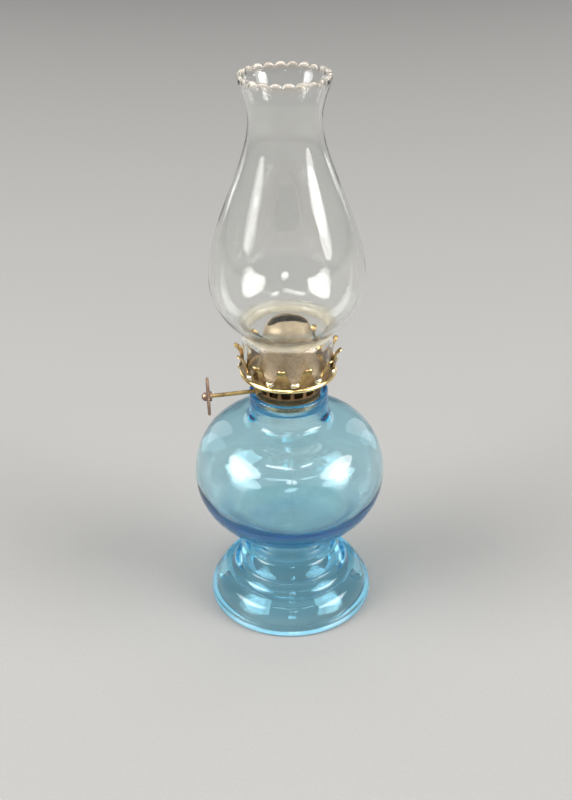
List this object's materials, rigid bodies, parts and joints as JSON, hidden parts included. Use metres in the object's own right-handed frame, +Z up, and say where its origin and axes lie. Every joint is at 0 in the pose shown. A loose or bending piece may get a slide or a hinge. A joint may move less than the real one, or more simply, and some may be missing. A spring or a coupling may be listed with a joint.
{
  "type": "oil lamp",
  "caption": "Small kerosene lamp: glass font on a hollow foot, brass flat-wick burner with pronged gallery, and crimp-top glass chimney.",
  "frame": {"origin": "on the lamp's axis, at the level of the face it stands on", "axes": "+Z up along the lamp's axis; the wick shaft leaves the burner along -X"},
  "size_m": [0.068, 0.068, 0.1965],
  "materials": {
    "aqua_glass": "transparent aqua glass, glossy, with thicker deep blue edges",
    "clear_glass": "transparent colourless glass, glossy, fire-polished rim",
    "gilt_brass": "thin pressed brass, bright on raised edges, tarnished in the hollows",
    "aged_brass": "aged pressed brass, brown tarnish",
    "dark_brass": "dull drawn brass, darkened",
    "copper_brown_brass": "oxidised brass, pinkish brown",
    "wick_cotton": "woven cotton, charred at the top"
  },
  "bodies": {
    "lamp_base": {"font": "aqua_glass"},
    "burner": {"screw_ring": "aged_brass", "floor_plate": "aged_brass", "air_band": "aged_brass", "diffuser_plate": "aged_brass", "gallery_crown": "gilt_brass", "flame_dome": "gilt_brass", "wick_tube": "dark_brass", "tube_ferrule": "aged_brass", "vent_tube": "aged_brass", "sprocket_housing": "aged_brass", "shaft_bushing": "aged_brass"},
    "wick_raiser": {"wick_shaft": "dark_brass", "star_wheel_left": "dark_brass", "star_wheel_right": "dark_brass", "shaft_collar": "dark_brass", "thumbwheel": "copper_brown_brass", "thumbwheel_rivet": "copper_brown_brass"},
    "wick_strip": {"wick": "wick_cotton"},
    "chimney_glass": {"chimney": "clear_glass"}
  },
  "joints": [
    {"name": "burner_lift", "type": "slide", "parent": "lamp_base", "child": "burner", "axis": [0, 0, 1], "range_m": [0, 0.03]},
    {"name": "chimney_lift", "type": "slide", "parent": "burner", "child": "chimney_glass", "axis": [0, 0, 1], "range_m": [0, 0.03]},
    {"name": "wick_turn", "type": "hinge", "parent": "burner", "child": "wick_raiser", "pos_m": [0, -0.00305, 0.0893], "axis": [1, 0, 0], "range_deg": [-80, 106]},
    {"name": "wick_raise", "type": "slide", "parent": "burner", "child": "wick_strip", "axis": [0, 0, 1], "range_m": [-0.00305, 0.0041]}
  ],
  "couplings": [
    {"joint": "wick_raise", "follows": "wick_turn", "m_per_rad": 0.00215}
  ]
}
